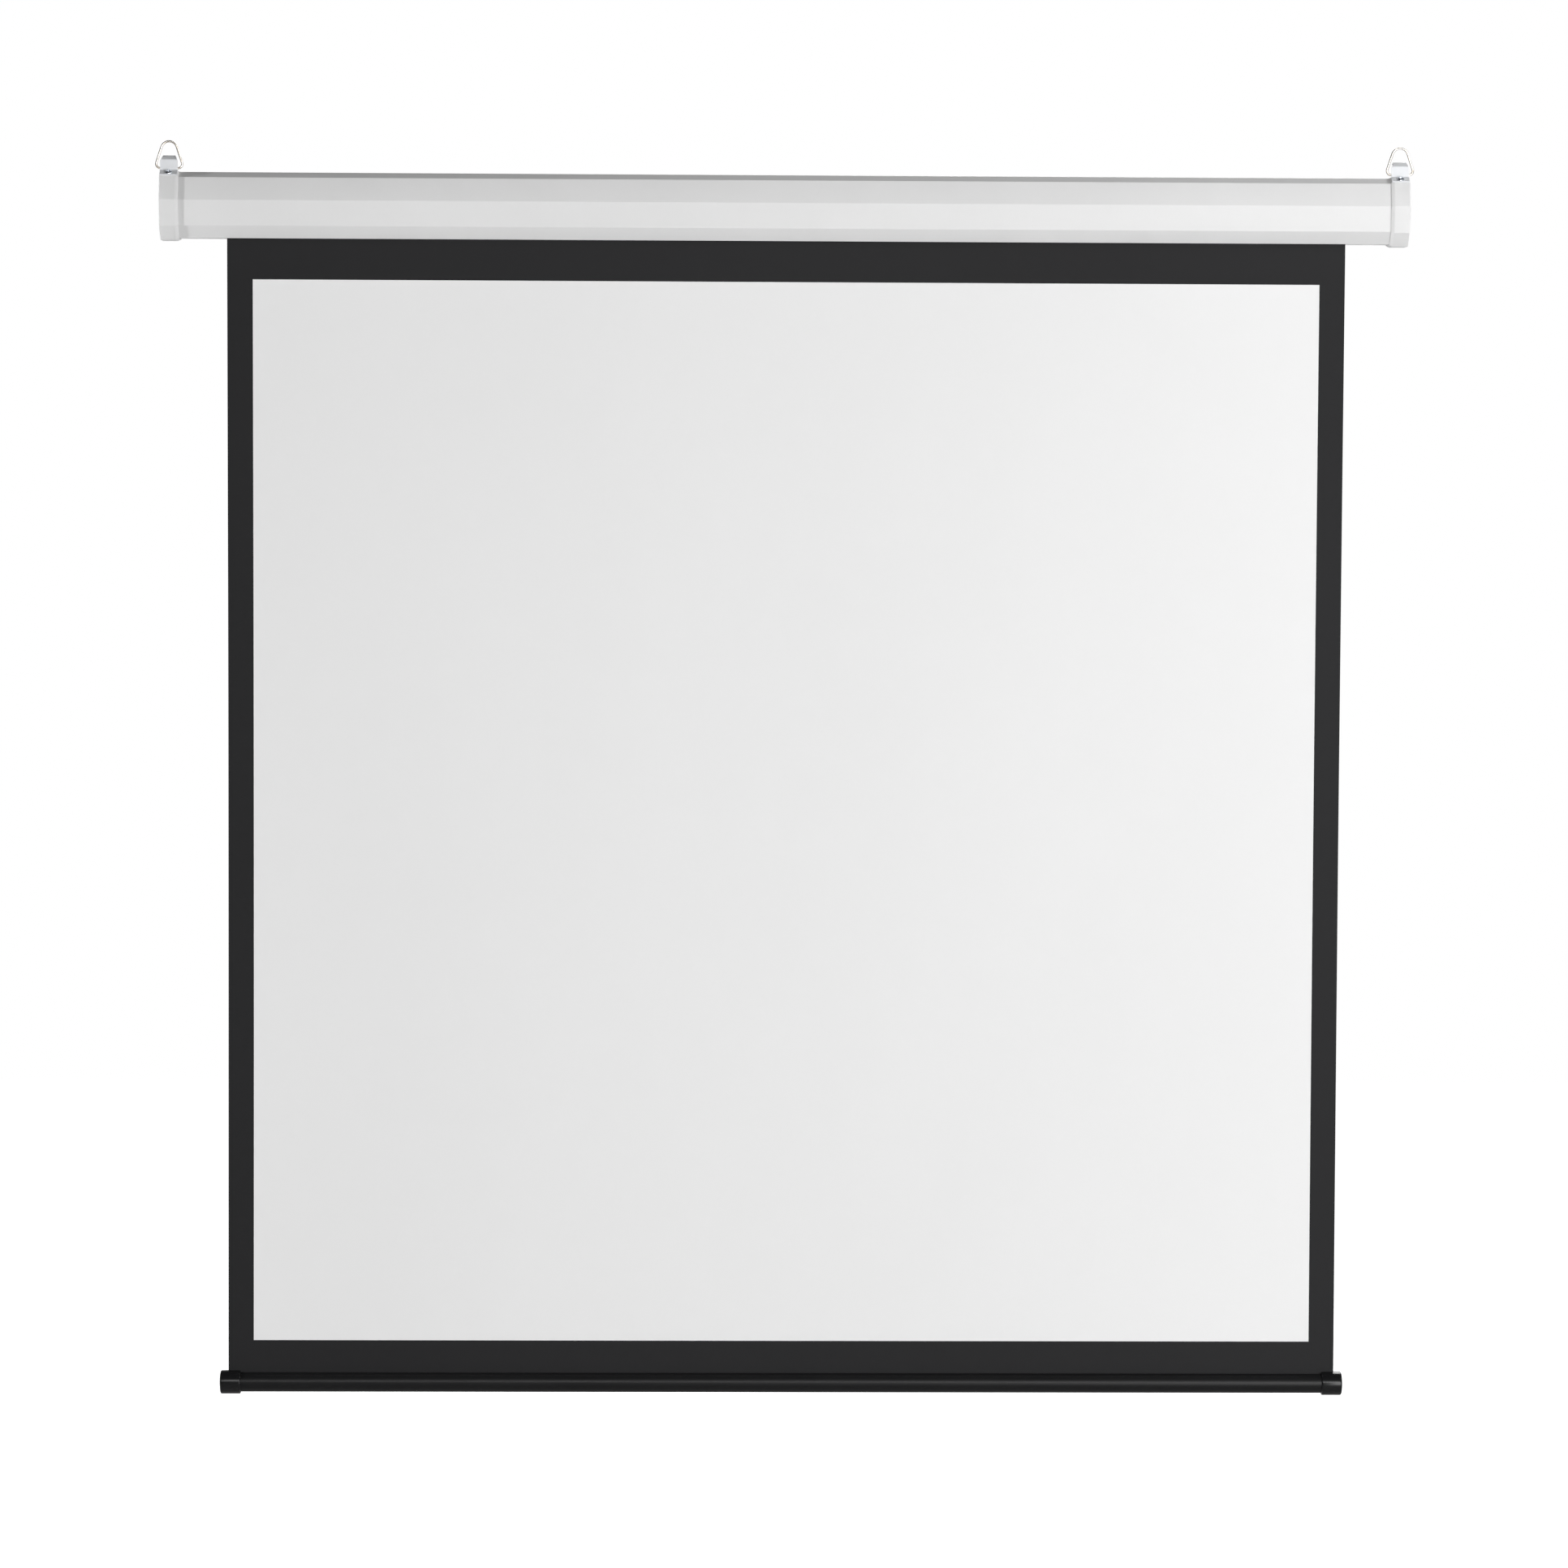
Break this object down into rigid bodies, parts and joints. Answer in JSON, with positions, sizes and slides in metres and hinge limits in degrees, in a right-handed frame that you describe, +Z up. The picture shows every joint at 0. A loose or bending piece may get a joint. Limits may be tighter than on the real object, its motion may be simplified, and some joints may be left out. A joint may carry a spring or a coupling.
{
  "type": "motorised roll-up projection screen",
  "caption": "White ten-sided case with end caps and hanging rings above a square white sheet with a black border and a round black bottom bar, raised on a motor-driven roller.",
  "frame": {"origin": "midway between the two ceiling holes, on the top face of the hanger straps", "axes": "+X to the right of someone facing the screen, +Y towards the wall, +Z up"},
  "size_m": [1.797, 0.0908, 1.8013],
  "materials": {
    "case_white": "white powder-coated steel, satin",
    "cap_white": "white moulded plastic, satin",
    "strap_white": "white painted bent steel",
    "ring_nickel": "bright nickel-plated steel wire",
    "screw_steel": "bright zinc-plated steel",
    "bracket_steel": "bare zinc-plated steel sheet",
    "drive_black": "black glass-filled plastic",
    "drive_steel": "grey galvanised steel",
    "motor_core": "laminated iron and copper, varnished",
    "roller_steel": "galvanised steel tube",
    "bush_plastic": "natural acetal",
    "inlet_rubber": "black rubber",
    "sheet_black": "matt black vinyl",
    "sheet_white": "matt white vinyl",
    "bar_black": "black powder-coated steel, satin",
    "bar_cap_black": "black moulded plastic, semi-gloss"
  },
  "bodies": {
    "housing": {"case_profile": "case_white", "left_end_cap": "cap_white", "right_end_cap": "cap_white", "left_hanger_strap": "strap_white", "right_hanger_strap": "strap_white", "strap_screws": "screw_steel", "cap_screws": "screw_steel", "bracket_screws": "screw_steel", "motor_bracket": "bracket_steel", "idler_bracket": "bracket_steel", "motor_head": "drive_black", "motor_tube": "drive_steel", "motor_core": "motor_core", "gearbox": "motor_core", "idler_bush": "bush_plastic", "cable_grommet": "inlet_rubber", "sheet_backing": "sheet_black", "white_facing": "sheet_white"},
    "roller": {"roller_tube": "roller_steel", "crown_wheel": "drive_black", "drive_wheel": "drive_black", "output_shaft": "bracket_steel", "idler_plug": "drive_black", "idler_pin": "bracket_steel", "wound_sheet": "sheet_black"},
    "bottom_bar": {"bottom_tube": "bar_black", "left_bar_cap": "bar_cap_black", "right_bar_cap": "bar_cap_black", "hem_rod": "bush_plastic", "hem_band": "sheet_black"},
    "left_ring": {"left_ring": "ring_nickel"},
    "right_ring": {"right_ring": "ring_nickel"}
  },
  "joints": [
    {"name": "screen_travel", "type": "slide", "parent": "housing", "child": "bottom_bar", "axis": [0, 0, 1], "range_m": [0, 1.623], "deforming": ["sheet_backing", "white_facing"]},
    {"name": "roller_spin", "type": "hinge", "parent": "housing", "child": "roller", "pos_m": [0, 0.0235, -0.069], "axis": [1, 0, 0], "range_deg": [-3995, 0]},
    {"name": "left_ring_swing", "type": "hinge", "parent": "housing", "child": "left_ring", "pos_m": [-0.8785, -0.0092, -0.0182], "axis": [1, 0, 0], "range_deg": [-85, 120]},
    {"name": "right_ring_swing", "type": "hinge", "parent": "housing", "child": "right_ring", "pos_m": [0.8785, -0.0092, -0.0182], "axis": [1, 0, 0], "range_deg": [-85, 120]}
  ],
  "couplings": [
    {"joint": "roller_spin", "follows": "screen_travel", "rad_per_m": -42.9}
  ]
}
